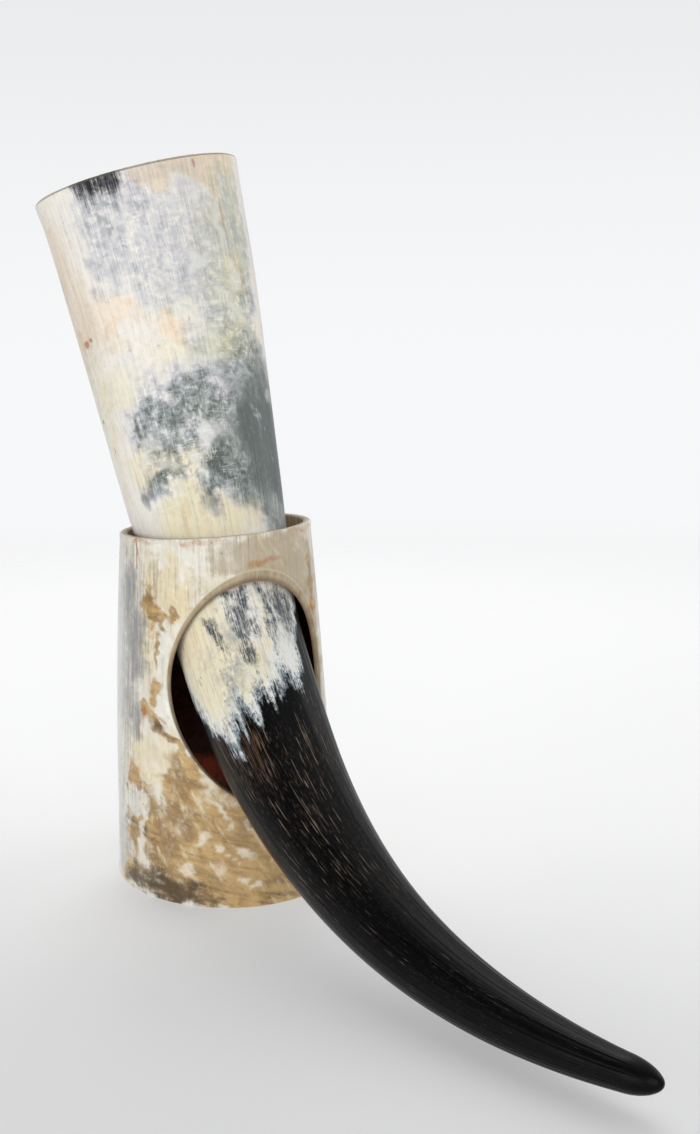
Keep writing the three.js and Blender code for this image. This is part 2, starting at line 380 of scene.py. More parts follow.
HORN_MARKS = {
    # how dark the pale part is, from cream through smoky grey to slate
    "dark": [
        (-43, 3, 20, 16, 0.32), (-20, 20, 56, 34, 0.15), (-28, 28, 34, 26, 0.05), (-8, 24, 18, 18, 0.06),
        (-20, 12, 10, 12, 0.06), (-57, 31, 7, 4, 0.26), (-57, 39, 6, 4, 0.24), (-45, 38, 9, 6, 0.12),
        (5, 42, 22, 18, 0.12), (-48, 14, 12, 10, 0.14), (-88, 66, 30, 30, 0.05), (24, 30, 24, 34, 0.1),
        (41, 46, 9, 14, 0.32), (36, 16, 5, 20, 0.2), (45, 24, 9, 24, 0.16), (16, 60, 16, 12, 0.24),
        (36, 64, 18, 10, 0.32), (-8, 66, 12, 8, 0.15), (22, 72, 22, 8, 0.3), (44, 70, 20, 10, 0.35),
        (-20, 42, 18, 12, 0.12), (-52, 64, 16, 8, 0.06), (-34, 90, 46, 20, 0.42), (-40, 91, 26, 13, 0.28),
        (-14, 80, 20, 10, 0.48), (-10, 78, 7, 6, 0.35), (-24, 84, 10, 8, 0.26), (-46, 84, 7, 8, 0.3),
        (-55, 90, 9, 8, 0.28), (-36, 88, 6, 7, 0.25), (-45, 96, 12, 6, 0.34), (-30, 90, 9, 5, 0.2),
        (-5, 90, 14, 10, 0.35), (2, 84, 14, 10, 0.35), (-30, 104, 44, 12, 0.2), (-2, 104, 14, 12, 0.75),
        (-9, 106, 10, 7, 0.35), (-36, 102, 13, 3.5, 0.55), (-52, 103, 7, 3, 0.35),
        (-56, 111, 17, 5, 0.56), (-68, 112, 8, 4, 0.5), (-50, 111, 9, 5, 0.5), (-36, 109, 13, 5, 0.38),
        (-27, 111, 11, 5, 0.32), (-22, 118, 7, 9, 0.45), (-15, 120, 8, 10, 0.42), (-8, 113, 16, 8, 0.5),
        (2, 114, 16, 12, 0.55), (-22, 74, 40, 6, 0.12), (40, 98, 42, 38, 0.86), (22, 98, 20, 28, 0.62),
        (14, 92, 14, 20, 0.35), (56, 100, 50, 38, 0.7), (14, 118, 20, 12, 0.6), (30, 122, 20, 10, 0.3),
        (24, 127, 9, 4, 0.35), (72, 110, 34, 32, 0.6), (10, 74, 12, 7, 0.28), (95, 104, 50, 34, 0.55),
        (140, 96, 44, 28, 0.5, 0.3), (178, 108, 40, 20, 0.45), (-150, 100, 36, 18, 0.35, -0.4),
        (-122, 110, 20, 11, 0.25), (125, 118, 30, 13, 0.35), (100, 40, 60, 40, 0.16),
        (150, 24, 70, 34, 0.22), (-150, 22, 50, 32, 0.2), (-120, 34, 24, 20, 0.12),
        (170, 60, 50, 22, 0.14), (130, 60, 12, 22, 0.22, 0.3), (-165, 64, 12, 24, 0.2, -0.3),
        (160, 84, 14, 9, 0.3), (110, 78, 18, 8, 0.25), (34, 126, 22, 12, 0.4), (44, 134, 20, 14, 0.35),
        (-58, 178, 10, 8, 0.12), (-30, 176, 8, 14, 0.22), (-48, 192, 12, 7, 0.22),
        (-34, 186, 12, 6, 0.16),
    ],
    # how much it is streaked along its fibres
    "streaks": [
        (-25, 22, 60, 40, 0.6), (-40, 95, 60, 40, 0.5), (5, 130, 60, 20, 0.5), (40, 20, 24, 34, 0.5),
        (-90, 20, 30, 60, 0.35), (0, 172, 34, 34, 0.9), (-60, 175, 50, 34, 0.35),
        (-70, 120, 34, 30, 0.45), (120, 50, 70, 60, 0.7), (-150, 50, 60, 60, 0.7),
    ],
    # cloudy mottling, cream in grey
    "mottled": [
        (-38, 96, 46, 28, 1), (-6, 112, 28, 16, 0.8), (-10, 84, 30, 16, 0.8), (-25, 20, 50, 36, 0.5),
        (25, 55, 34, 30, 0.7), (-30, 60, 50, 14, 0.4), (0, 170, 30, 30, 0.7), (-150, 100, 60, 40, 0.9),
        (150, 70, 50, 40, 0.8), (-46, 182, 34, 26, 0.7),
    ],
    # blue-grey streaks in the window
    "blue": [
        (-43, 166, 12, 9, 0.8), (-40, 172, 9, 10, 0.6), (-48, 164, 6, 5, 0.5), (20, 168, 16, 16, 0.35),
        (30, 166, 14, 12, 0.45), (34, 178, 10, 12, 0.4), (-12, 162, 9, 11, 0.85), (-21, 156, 6, 5, 0.85),
        (-17, 178, 9, 11, 0.7), (-14, 168, 20, 18, 0.25), (16, 168, 20, 20, 0.3), (-12, 172, 14, 5, 0.6),
        (-22, 168, 6, 8, 0.6), (-27, 164, 5, 5, 0.4), (9, 168, 10, 12, 0.6), (13, 169, 7, 8, 0.85),
        (11, 179, 6, 7, 0.55), (11, 158, 12, 6, 0.75), (24, 160, 12, 9, 0.65), (-45, 185, 6, 5, 0.55),
        (-37, 190, 7, 4, 0.45), (36, 162, 14, 9, 0.8), (30, 172, 6, 10, 0.5), (8, 190, 9, 5, 0.7),
        (-14, 190, 8, 4, 0.35), (-30, 196, 7, 4, 0.35), (-60, 200, 8, 5, 0.35), (42, 176, 10, 14, 0.8),
        (24, 184, 5, 8, 0.5), (120, 150, 44, 20, 0.7), (-140, 165, 34, 18, 0.6),
    ],
    # tan and pinkish horn
    "tan": [
        (8, 1, 50, 10, 0.9), (-8, 4, 22, 9, 0.55), (30, 3, 28, 10, 0.6), (28, 15, 4, 18, 0.75, 0.12),
        (35, 38, 4, 14, 0.65), (45, 60, 5, 22, 0.4), (-90, 40, 30, 32, 0.55), (-86, 16, 24, 18, 0.38),
        (-70, 48, 24, 20, 0.45), (-98, 34, 9, 8, 0.6), (-88, 15, 9, 4, 0.4), (-84, 92, 8, 18, 0.45),
        (-38, 126, 6, 14, 0.5), (-24, 127, 6, 14, 0.4), (-6, 128, 4, 10, 0.3), (-75, 164, 30, 16, 0.35),
        (-104, 165, 20, 16, 0.6), (-58, 184, 24, 14, 0.22), (150, 6, 64, 14, 0.9), (-150, 5, 44, 11, 0.9),
        (-92, 108, 8, 12, 0.4),
    ],
    # amber and orange tints
    "amber": [
        (-24, 55, 11, 9, 0.6), (-15, 61, 10, 7, 0.55), (-53, 46, 13, 12, 0.5), (-40, 50, 14, 9, 0.4),
        (-92, 52, 16, 7, 0.42), (-60, 54, 14, 9, 0.4), (-48, 60, 18, 6, 0.3), (12, 66, 14, 6, 0.25),
        (-62, 170, 34, 22, 0.24), (-40, 152, 18, 9, 0.35), (100, 70, 30, 12, 0.5),
        (-140, 50, 24, 10, 0.6), (165, 140, 30, 14, 0.5),
    ],
    # greenish grey over the cream
    "moss": [
        (26, 40, 30, 44, 0.6), (40, 20, 16, 30, 0.5), (8, 66, 26, 12, 0.55), (-12, 48, 22, 14, 0.25),
        (-4, 98, 24, 24, 0.4), (0, 188, 16, 12, 0.3), (-60, 198, 24, 12, 0.3), (-24, 190, 20, 10, 0.3),
        (-40, 118, 30, 10, 0.25),
    ],
    # brown streaks where the black begins
    "brown": [
        (-76, 208, 24, 18, 0.8), (-48, 214, 18, 16, 0.85), (-36, 208, 8, 12, 0.7), (-20, 206, 8, 8, 0.5),
        (-96, 204, 20, 20, 0.5), (-62, 226, 30, 18, 0.4),
    ],
    # small orange-brown scratches and specks
    "rust": [
        (-84, 53.5, 8, 1.3, 0.9), (-77, 53, 2.5, 1.6, 0.9), (-95, 80, 3, 1.3, 0.9), (-8, 55, 0.9, 3, 0.7),
        (-88, 92, 1.2, 3.5, 0.6), (-85, 110, 1.2, 5, 0.45), (15, 3, 1.6, 1.8, 0.9),
        (28, 20, 1, 9, 0.5, 0.1), (32, 52, 0.9, 10, 0.4), (-75, 180, 1, 4, 0.8, 0.8),
        (-71, 179, 1, 3.5, 0.8, -1.2), (-83, 165, 1.2, 4, 0.6), (-50, 177, 0.9, 2.6, 0.8, 0.8),
        (-54, 192, 1.6, 1.6, 0.6), (-63, 186, 1, 2.4, 0.6),
    ],
    # pale yellow horn
    "yellow": [
        (-60, 172, 48, 34, 0.9), (-30, 184, 38, 14, 0.75), (-8, 184, 10, 6, 0.6), (1, 172, 5, 20, 0.6),
        (-32, 126, 46, 18, 0.85), (6, 128, 26, 10, 0.8), (-34, 106, 38, 8, 0.75),
        (-62, 103, 22, 12, 0.65), (-40, 101, 22, 5, 0.4), (31, 42, 16, 11, 0.55), (26, 62, 32, 14, 0.5),
        (22, 22, 7, 26, 0.4, 0.1), (-22, 66, 30, 8, 0.45), (-64, 74, 30, 12, 0.4), (44, 18, 14, 30, 0.3),
        (130, 170, 60, 24, 0.9), (-160, 140, 50, 34, 0.9), (100, 130, 40, 20, 0.8),
        (-90, 70, 24, 30, 0.35),
    ],
    # milk-white patches and round spots
    "white": [
        (-27, 94, 4.5, 3.5, 0.8), (-27, 101, 6, 5, 0.85), (-12, 99, 6, 6, 0.85),
        (-13, 110, 5.5, 4.5, 0.9), (-18, 107, 4.5, 3.5, 0.7), (-17, 90, 15, 1.6, 0.75),
        (-16, 93, 10, 1.3, 0.55), (-38, 89, 9, 1.3, 0.45), (-44, 92, 5, 3, 0.45), (-4, 97, 6, 5, 0.5),
        (-52, 98, 8, 4, 0.5), (-40, 106, 12, 3, 0.45), (13, 106, 4, 5, 0.3), (16, 84, 6, 4, 0.35),
        (32, 92, 4, 12, 0.35), (24, 86, 7, 3, 0.25), (-2, 120, 6, 5, 0.35), (-38, 117, 6, 6, 0.35),
        (29, 42, 10, 7, 0.6), (28, 52, 9, 5, 0.5), (23, 24, 5, 18, 0.6, 0.12), (-13, 30, 2.5, 9, 0.7),
        (-7, 33, 2, 8, 0.4), (-22, 37, 12, 1.8, 0.75, 0.3), (-18, 33, 9, 1.2, 0.5), (5, 37, 5, 5, 0.6),
        (5, 25, 8, 3, 0.4), (-8, 13, 18, 3, 0.5, -0.8), (2, 9, 6, 3, 0.5), (12, 8, 10, 3, 0.4),
        (-32, 14, 10, 2, 0.5, 0.5), (-18, 24, 14, 1.6, 0.4), (-30, 30, 8, 1.4, 0.4, -0.6),
        (-12, 42, 12, 1.5, 0.5), (-22, 28, 1.8, 7, 0.4), (-2, 18, 2, 9, 0.4), (-44, 96, 14, 1.2, 0.5),
        (-30, 85, 12, 1.1, 0.4, 0.4), (-6, 94, 9, 1.2, 0.5), (4, 108, 1.4, 7, 0.4, 0.3),
        (8, 78, 10, 1.4, 0.4, -0.5), (-58, 100, 10, 3, 0.5), (16, 70, 12, 2, 0.45, 0.6),
        (28, 76, 10, 2, 0.4, -0.6), (36, 60, 4, 6, 0.4), (55, 82, 12, 3, 0.5), (45, 124, 20, 8, 0.4),
        (20, 132, 20, 5, 0.4), (-28, 205, 5, 6, 0.8), (-60, 208, 8, 9, 0.8), (-12, 203, 4, 5, 0.8),
        (14, 183, 24, 8, 0.9), (26, 176, 14, 14, 0.75), (20, 190, 16, 5, 0.8), (-68, 199, 10, 8, 0.6),
        (-97, 180, 18, 12, 0.4), (2, 193, 10, 5, 0.7), (-4, 168, 3, 14, 0.5), (18, 166, 3, 14, 0.6),
        (-18, 188, 14, 4, 0.5), (-32, 198, 10, 4, 0.5), (-44, 204, 5, 5, 0.5), (6, 158, 4, 6, 0.5),
        (-66, 122, 12, 14, 0.35), (-78, 112, 6, 22, 0.45), (-56, 70, 20, 8, 0.3),
    ],
    # a painted shadow at the mouth's rim
    "rim_shadow": [
        (-43, 0, 18, 6.5, 1), (-38, 2, 13, 7, 0.9), (-49, 2, 9, 9, 0.55), (-30, 2, 7, 8, 0.8),
        (-33, 6, 5, 8, 0.4), (-46, 7, 6, 9, 0.35), (150, 0, 22, 7, 0.6),
    ],
    # where pale flecks lie in the black
    "flecks": [
        (-50, 214, 40, 24, 0.9), (-75, 206, 16, 24, 0.8), (-38, 228, 50, 30, 0.6), (4, 216, 20, 24, 0.75),
        (36, 212, 30, 30, 0.8), (-60, 245, 70, 50, 0.45), (0, 250, 70, 60, 0.45), (45, 245, 34, 60, 0.45),
        (-20, 295, 130, 70, 0.36), (150, 235, 90, 70, 0.6), (-130, 240, 60, 60, 0.6),
    ],
}


def mark_horn(mesh, turn, along, depth):
    grain = grain_places(turn, along)
    write_vector(mesh, "grain", grain)
    turn_drift = drift(grain / MM, (3.0, 7.0), (1.6, 2.6), 1)
    along_drift = drift(grain / MM, (1.8, 7.0), (0.9, 2.6), 3)
    edge = np.array(BLACK_EDGE, dtype=float)
    turn_ease, along_ease = BLACK_EDGE_EASES
    edge_at = np.interp(wrapped(turn + turn_ease * turn_drift), edge[:, 0], edge[:, 1])
    past_edge = along + along_ease * along_drift - edge_at
    write_number(mesh, "black", np.clip(0.5 + past_edge / BLACK_EDGE_SPAN, 0.0, 1.0))
    write_number(mesh, "inside", depth)
    write_marks(mesh, HORN_MARKS, turn, along, (turn_drift, along_drift), {"rust": 0.0, "rim_shadow": 0.0})


# ---- Stand ----


def stand_radius(height):
    share = np.clip(height / STAND_HEIGHT, 0.0, 1.0)
    return FOOT_RADIUS + (RIM_RADIUS - FOOT_RADIUS) * share + BELLY * np.sin(math.pi * share)


def stand_points(turn, height, depth):
    """Points of the leaning oval tube. turn is in degrees, depth is measured in from the outer face."""
    angle = np.radians(turn)
    radius = stand_radius(height) - depth
    x, y = radius * np.sin(angle), -radius * np.cos(angle)
    share = height / STAND_HEIGHT
    rise = share * (RIM_SLOPE[0] * x + RIM_SLOPE[1] * y)
    place = np.stack([x + RIM_SHIFT[0] * share, y * OVAL + RIM_SHIFT[1] * share, height + rise], axis=-1)
    return FOOT + place


def stand_relief(turn, height_mm):
    """How far the outer face dips: slow hollows, fine fluting up the grain and an unsteady cut."""
    angle = np.radians(turn)
    hollows = 0.14 * np.sin(2 * angle + height_mm / 30.0) + 0.10 * np.sin(5 * angle - height_mm / 22.0)
    flutes = 0.02 * np.sin(37 * angle + 0.8 * np.sin(height_mm / 19.0))
    flutes += 0.015 * np.sin(71 * angle + height_mm / 27.0)
    fade = between_ends(STAND_RELIEF_ENDS, height_mm)
    return (0.26 + hollows + flutes) * fade * MM


def window_outline(outline, slant, drop=0.0):
    """The window's outline at the angles slant, clockwise from its top, as (turn, height)."""
    height = outline["centre"] + outline["half_height"] * np.cos(slant)
    height = height - drop * np.clip(np.cos(slant), 0.0, 1.0) ** 4
    turn = np.degrees(np.arcsin(outline["half_width"] * np.sin(slant) / stand_radius(height)))
    return turn, height


def turns_between(low, high):
    return np.linspace(low, high, int(round((high - low) / TURN_STEP)) + 1)


FRONT_TURNS = turns_between(-WINDOW_SIDE_TURN, WINDOW_SIDE_TURN)
BACK_TURNS = turns_between(WINDOW_SIDE_TURN, 360 - WINDOW_SIDE_TURN)
STAND_ROWS = np.linspace(EDGE_ROUND, STAND_HEIGHT - EDGE_ROUND, HEIGHT_STEPS + 1)


def window_border():
    """The rectangle round the window, clockwise from its upper left corner, as (turn, height)."""
    across, up = FRONT_TURNS, STAND_ROWS
    top = np.stack([across, np.full_like(across, up[-1])], axis=-1)
    right = np.stack([np.full_like(up, across[-1]), up], axis=-1)[::-1]
    bottom = np.stack([across, np.full_like(across, up[0])], axis=-1)[::-1]
    left = np.stack([np.full_like(up, across[0]), up], axis=-1)
    return np.concatenate([top[:-1], right[:-1], bottom[:-1], left[:-1]])


def border_slants(border):
    """The window angle that each border point looks at."""
    centre, half_height = WINDOW_OUTER["centre"], WINDOW_OUTER["half_height"]
    half_turn = np.degrees(np.arcsin(WINDOW_OUTER["half_width"] / stand_radius(centre)))
    return np.arctan2(border[:, 0] / half_turn, (border[:, 1] - centre) / half_height)


class Patchwork:
    """Collects grids of (turn, height, depth) and welds them into one mesh."""

    def __init__(self):
        self.places = []
        self.faces = []
        self.count = 0

    def add(self, turn, height, depth, wrap=False):
        """Rows go outwards or upwards, columns clockwise as seen from outside."""
        turn, height, depth = np.broadcast_arrays(turn, height, depth)
        rows, columns = turn.shape
        index = self.count + np.arange(rows * columns).reshape(rows, columns)
        if wrap:
            index = np.concatenate([index, index[:, :1]], axis=1)
        quads = np.stack([index[:-1, :-1], index[:-1, 1:], index[1:, 1:], index[1:, :-1]], axis=-1)
        self.faces += quads.reshape(-1, 4).tolist()
        self.places.append(np.stack([turn, height, depth], axis=-1).reshape(-1, 3))
        self.count += rows * columns


def build_stand():
    work = Patchwork()
    border = window_border()
    slant = border_slants(border)
    ease = np.linspace(0.0, 1.0, WINDOW_RINGS + 1)[:, None]
    wall = STAND_WALL

    # outer and inner faces round the window, from the window's edge out to the border
    outer_turn, outer_height = window_outline(WINDOW_OUTER, slant)
    inner_turn, inner_height = window_outline(WINDOW_INNER, slant, BEVEL_DROP)
    centre = WINDOW_OUTER["centre"]
    grow = 1.0 + EDGE_ROUND / WINDOW_OUTER["half_width"]
    start = {
        0.0: (outer_turn * grow, centre + (outer_height - centre) * grow),
        wall: (inner_turn * grow, centre + (inner_height - centre) * grow),
    }
    for depth, (turn, height) in start.items():
        rows_turn = turn + (border[:, 0] - turn) * ease
        rows_height = height + (border[:, 1] - height) * ease
        if depth:
            rows_turn, rows_height = rows_turn[::-1], rows_height[::-1]
        work.add(rows_turn, rows_height, np.full_like(rows_turn, depth), wrap=True)

    # the bevel, with both of its edges rounded
    corners = [
        (start[wall][0], start[wall][1], wall), (inner_turn, inner_height, wall),
        (outer_turn, outer_height, 0.0), (start[0.0][0], start[0.0][1], 0.0),
    ]
    bevel_length = math.hypot(wall, BEVEL_LEAN)
    near = EDGE_ROUND / bevel_length
    rows = []
    for share in np.linspace(0.0, 1.0, ROUND_STEPS):
        rows.append(bend(corners[0], corners[1], lean(corners[1], corners[2], near), share))
    for share in np.linspace(near, 1.0 - near, BEVEL_ROWS)[1:-1]:
        rows.append(lean(corners[1], corners[2], share))
    for share in np.linspace(0.0, 1.0, ROUND_STEPS):
        rows.append(bend(lean(corners[1], corners[2], 1.0 - near), corners[2], corners[3], share))
    rows = [[np.broadcast_to(value, slant.shape) for value in row] for row in rows]
    work.add(*np.array(rows).transpose(1, 0, 2), wrap=True)

    # outer and inner faces round the back
    turn, height = np.broadcast_arrays(BACK_TURNS[None, :], STAND_ROWS[:, None])
    work.add(turn, height, 0.0)
    work.add(turn[::-1], height[::-1], wall)

    # rounded rim and foot
    round_turn = np.concatenate([FRONT_TURNS[:-1], BACK_TURNS[:-1]])[None, :]
    profile = edge_profile(wall)
    rim_height = STAND_HEIGHT - EDGE_ROUND + profile[:, [0]]
    foot_height = EDGE_ROUND - profile[:, [0]]
    work.add(round_turn, rim_height, profile[:, [1]], wrap=True)
    work.add(round_turn, foot_height[::-1], profile[::-1, [1]], wrap=True)

    places = np.concatenate(work.places)
    turn, height, depth = places.T
    relief = stand_relief(turn, height / MM) * (1.0 - smooth(0.0, 1.0 * MM, depth))
    vertices = stand_points(turn, height, depth + relief)
    piece = piece_from("horn_stand_tube", vertices, work.faces)
    return piece, wrapped(turn), height / MM, depth / wall


def lean(a, b, share):
    return tuple(x + (y - x) * share for x, y in zip(a, b))


def bend(a, corner, b, share):
    """A rounded corner: from a towards corner, and on to b."""
    return lean(lean(a, corner, share), lean(corner, b, share), share)


def edge_profile(wall):
    """(rise, depth) over a sawn end, from the outer face to the inner one, with rounded edges."""
    angles = np.linspace(0.0, math.pi / 2, ROUND_STEPS)
    outer = [(EDGE_ROUND * math.sin(a), EDGE_ROUND * (1 - math.cos(a))) for a in angles]
    flat = [(EDGE_ROUND, EDGE_ROUND + (wall - 2 * EDGE_ROUND) * s) for s in (0.25, 0.5, 0.75)]
    inner = [(rise, wall - depth) for rise, depth in outer[::-1]]
    return np.array(outer + flat + inner)


STAND_MARKS = {
    # grey-lavender horn
    "grey": [
        (-86, 84, 24, 36, 0.5), (-78, 88, 16, 24, 0.5), (-74, 82, 10, 16, 0.4), (-88, 56, 22, 22, 0.3),
        (-70, 104, 24, 14, 0.15), (-88, 100, 14, 12, 0.3), (-74, 58, 10, 9, 0.65),
        (-92, 62, 16, 12, 0.35), (-93, 14, 16, 14, 0.55), (-99, 34, 16, 20, 0.35),
        (-82, 30, 12, 22, 0.28), (-76, 15, 7, 6, 0.35), (-40, 104, 20, 10, 0.18), (-58, 108, 10, 10, 0.2),
        (-66, 74, 8, 14, 0.2), (-84, 114, 10, 5, 0.3), (46, 62, 8, 18, 0.3), (150, 76, 16, 44, 0.5),
        (132, 92, 10, 26, 0.35), (-160, 60, 14, 50, 0.45), (176, 96, 10, 24, 0.4),
        (-136, 84, 12, 30, 0.35), (108, 58, 9, 36, 0.3), (120, 20, 12, 20, 0.35), (-128, 24, 14, 22, 0.4),
    ],
    # ochre-brown mottles
    "ochre": [
        (-64, 98, 6, 6, 0.9), (-61, 93, 7, 6, 0.9), (-54, 90, 6, 4, 0.8), (-47, 93, 4, 6, 0.7),
        (-68, 94, 4, 7, 0.55), (-58, 82, 3, 7, 0.7), (-59, 69, 4, 8, 0.75), (-66, 62, 6, 4, 0.8),
        (-60, 60, 8, 4, 0.7, -1), (-52, 55, 9, 4, 0.8, -1.2), (-46, 50, 6, 4, 0.6), (-76, 38, 9, 6, 0.85),
        (-66, 36, 8, 5, 0.6), (-46, 42, 14, 10, 0.75), (-38, 44, 9, 9, 0.75), (-64, 30, 9, 6, 0.65),
        (-46, 30, 18, 13, 0.75), (-60, 22, 12, 9, 0.85), (-52, 16, 16, 9, 0.75), (-30, 28, 28, 18, 0.6),
        (-16, 22, 28, 20, 0.7), (-38, 12, 36, 11, 0.7), (-5, 14, 24, 18, 0.8), (10, 24, 20, 20, 0.8),
        (22, 10, 18, 14, 0.8), (-78, 20, 8, 8, 0.8), (-74, 24, 6, 5, 0.5), (-30, 5, 36, 8, 0.75),
        (-62, 8, 30, 12, 0.6), (-4, 3, 30, 7, 0.8), (-84, 6, 12, 8, 0.5), (44, 98, 7, 22, 0.6),
        (40, 82, 5, 14, 0.6), (66, 70, 16, 34, 0.5), (62, 14, 34, 20, 0.7), (90, 22, 34, 22, 0.6, -0.4),
        (124, 14, 34, 18, 0.7), (150, 34, 22, 16, 0.45, -0.8), (168, 16, 36, 20, 0.75),
        (-150, 22, 34, 20, 0.7), (-122, 12, 28, 14, 0.65), (-170, 46, 14, 12, 0.45, -0.8),
        (104, 44, 10, 14, 0.4, -0.8), (140, 58, 8, 8, 0.5, -1), (-140, 60, 7, 10, 0.45, -1),
        (-128, 92, 8, 8, 0.55), (112, 96, 9, 7, 0.5), (170, 100, 7, 6, 0.5, -0.8),
    ],
    # dark brown
    "umber": [
        (-60, 4, 30, 7.5, 0.75), (-52, 5, 18, 5, 0.7), (-80, 5, 11, 8, 0.65), (-36, 3, 26, 7, 0.35),
        (-58, 9, 20, 5, 0.45), (-70, 11, 12, 5, 0.35), (-6, 1, 34, 5, 0.2), (-56, 56, 8, 3, 0.3, -1),
        (-62, 92, 8, 3, 0.35), (-82, 23, 5, 5, 0.55), (-66, 22, 6, 5, 0.45), (-60, 19, 8, 4, 0.35),
        (-76, 40, 6, 3, 0.3), (-64, 97, 4, 4, 0.3), (-54, 56, 5, 2, 0.3), (-44, 19, 10, 3, 0.3),
        (-20, 9, 16, 3, 0.25), (-8, 4, 24, 4, 0.3), (-30, 18, 16, 2.5, 0.25), (-12, 30, 14, 2.5, 0.2),
        (70, 5, 44, 6, 0.45), (160, 6, 44, 7, 0.4), (-140, 5, 34, 6, 0.45),
    ],
    # taupe horn above and right of the window
    "taupe": [
        (12, 110, 34, 12, 0.75), (24, 104, 30, 16, 0.7), (-8, 108, 20, 8, 0.55), (40, 92, 18, 34, 0.75),
        (-20, 111, 12, 8, 0.55), (-24, 106, 8, 5, 0.35), (46, 50, 18, 44, 0.65), (36, 30, 18, 24, 0.45),
        (75, 96, 36, 28, 0.7), (100, 70, 34, 30, 0.4), (-42, 115, 20, 4, 0.3),
    ],
    # milk-white spots and streaks
    "spots": [
        (-24, 33, 4, 7.5, 0.9, -0.6), (-29, 39, 4.5, 6, 0.7, -0.5), (-21, 28, 3, 5, 0.6, -0.6),
        (-22, 17, 2.8, 4.5, 0.9, -0.5), (-17, 10, 4, 3, 0.9), (-34, 22, 6, 3.5, 0.75),
        (-40, 12, 5, 2.6, 0.8), (-46, 25, 4, 3, 0.5), (-72, 15, 7, 5, 0.7),
        (-14, 18, 2.8, 3.8, 0.8, -0.6), (-9, 7, 4, 2.6, 0.8), (-27, 13, 3, 2.4, 0.5),
        (-50, 34, 3, 3, 0.4), (-38, 31, 3, 4, 0.55, -0.5), (-9, 26, 3, 6, 0.7, -0.6),
        (2, 15, 3, 4, 0.7, -0.5), (10, 28, 3, 6, 0.7, -0.5), (-32, 33, 4, 7, 0.5, -0.6),
        (-54, 15, 4, 2, 0.45), (-66, 7, 4, 2, 0.4), (-55, 27, 4, 5, 0.4, -0.5), (-62, 49, 18, 9, 0.6),
        (-48, 38, 3, 6, 0.35, -0.5), (-60, 36, 10, 4, 0.5), (-92, 93, 6, 6, 0.5), (-70, 30, 9, 4, 0.5),
        (28, 112, 5, 4, 0.45), (-98, 60, 12, 60, 0.35), (-36, 112, 14, 4, 0.3), (-72, 104, 4, 14, 0.4),
        (100, 34, 6, 6, 0.8), (112, 20, 5, 4, 0.8), (140, 30, 7, 6, 0.8), (160, 22, 5, 5, 0.8),
        (-160, 70, 7, 6, 0.8),
    ],
    # pale yellow and peach tints
    "yellow": [
        (-50, 102, 20, 16, 0.6), (-40, 96, 10, 8, 0.4), (-64, 108, 8, 8, 0.35), (-66, 84, 12, 18, 0.5),
        (-60, 44, 26, 16, 0.5), (-70, 52, 10, 10, 0.4), (-34, 36, 20, 12, 0.35), (-84, 48, 12, 12, 0.3),
        (-24, 102, 14, 8, 0.35), (130, 70, 60, 40, 0.5), (-130, 60, 50, 40, 0.5),
    ],
    # orange cracks and tints
    "orange": [
        (-75, 113, 1.8, 5, 0.95), (-74.5, 108, 1.2, 3, 0.7), (2, 108, 13, 1.8, 0.45),
        (12, 109, 10, 1.5, 0.4), (44, 90, 8, 1.6, 0.75), (42, 96, 6, 8, 0.25), (-67, 61, 3, 2, 0.8),
        (-35, 92, 5, 6, 0.4), (-28, 116, 28, 1.8, 0.4), (-70, 116, 16, 1.6, 0.4),
        (40, 116, 24, 1.8, 0.35), (56, 72, 6, 2.4, 0.7), (-70, 38, 12, 8, 0.18), (-54, 24, 14, 6, 0.2),
        (-20, 14, 20, 6, 0.2), (-36, 104, 2, 4, 0.25), (-62, 88, 6, 5, 0.3),
    ],
    # a painted sheen along the sides, which does not drift
    "side_sheen": [
        (-112, 60, 34, 110, 0.8), (90, 60, 60, 110, 0.3),
    ],
    # deep red light that comes through the wall
    "glow": [
        (168, 22, 26, 11, 1), (150, 26, 20, 12, 0.4), (-170, 16, 24, 10, 0.6),
    ],
}


def mark_stand(mesh, turn, height, depth):
    grain = grain_places(turn, height)
    write_vector(mesh, "grain", grain)
    turn_drift = drift(grain / MM, (2.2, 6.0), (1.4, 2.4), 5)
    height_drift = drift(grain / MM, (1.5, 6.0), (0.9, 2.4), 7)
    write_number(mesh, "depth", np.clip(depth, 0.0, 1.0))
    write_number(mesh, "height", height)
    eases = {"side_sheen": 0.0, "orange": 0.35, "glow": 0.35}
    write_marks(mesh, STAND_MARKS, turn, height, (turn_drift, height_drift), eases)


def weld(piece):
    mesh = bmesh.new()
    mesh.from_mesh(piece.data)
    bmesh.ops.remove_doubles(mesh, verts=mesh.verts, dist=WELD_REACH)
    mesh.to_mesh(piece.data)
    mesh.free()


# ---- Materials ----

RELIEF_STRENGTH = 0.35
RELIEF_HEIGHT = 0.12 * MM


